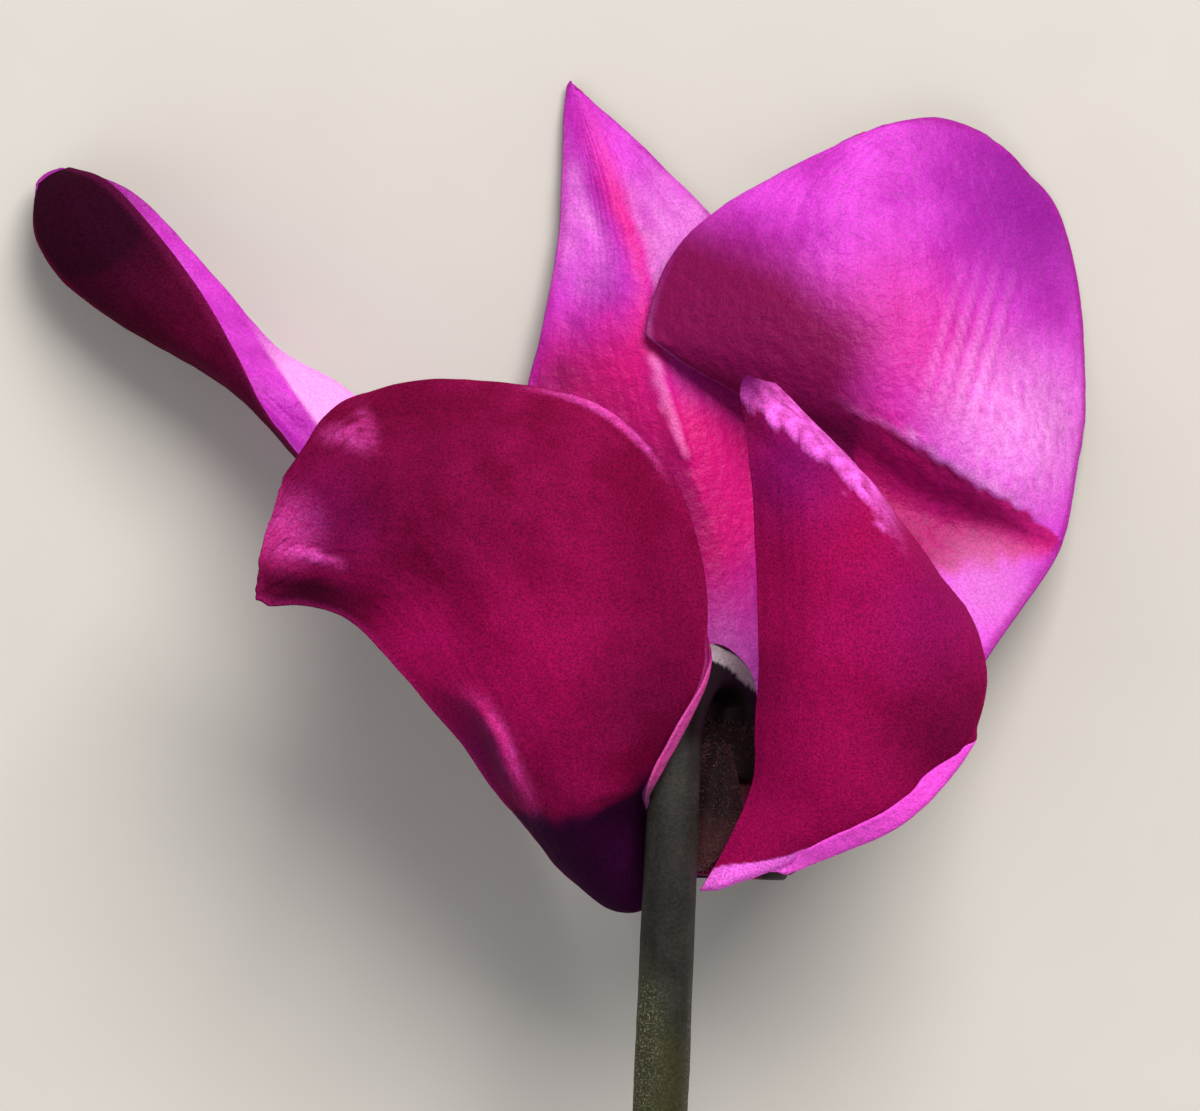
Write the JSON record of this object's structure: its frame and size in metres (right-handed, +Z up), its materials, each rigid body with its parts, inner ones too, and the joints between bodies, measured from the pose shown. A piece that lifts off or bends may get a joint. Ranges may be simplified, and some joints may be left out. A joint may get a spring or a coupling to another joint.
{
  "type": "cyclamen flower",
  "caption": "Picked cyclamen flower lying down: swept-back velvety crimson and orchid-pink petals round a small tube, with sepals, stamens, pistil and a hooked stalk.",
  "frame": {"origin": "on the table, under the middle of the lying flower's box", "axes": "+Z up from the table, +Y along the flower from the cut end of the stalk to the petal tips, +X to the right as seen from above with the petal tips away from the viewer"},
  "size_m": [0.0674, 0.137, 0.029],
  "materials": {
    "petal": "velvety, deep crimson-magenta outside and light orchid pink inside, thin and slightly translucent",
    "tube": "soft, dark crimson",
    "calyx": "matt, dark maroon-brown with fine hairs",
    "stalk": "satin, fleshy, taupe-brown with fine dark speckles",
    "anther": "matt, dusty yellow-brown",
    "pistil": "satin, dull pink"
  },
  "bodies": {
    "root": {"petal_front_left": "petal", "petal_front_right": "petal", "petal_right": "petal", "petal_back": "petal", "petal_left": "petal", "corolla_tube": "tube", "receptacle": "calyx", "sepal_1": "calyx", "sepal_2": "calyx", "sepal_3": "calyx", "sepal_4": "calyx", "sepal_5": "calyx", "stamen_1": "anther", "stamen_2": "anther", "stamen_3": "anther", "stamen_4": "anther", "stamen_5": "anther", "pistil": "pistil", "flower_stalk": "stalk"}
  },
  "joints": []
}
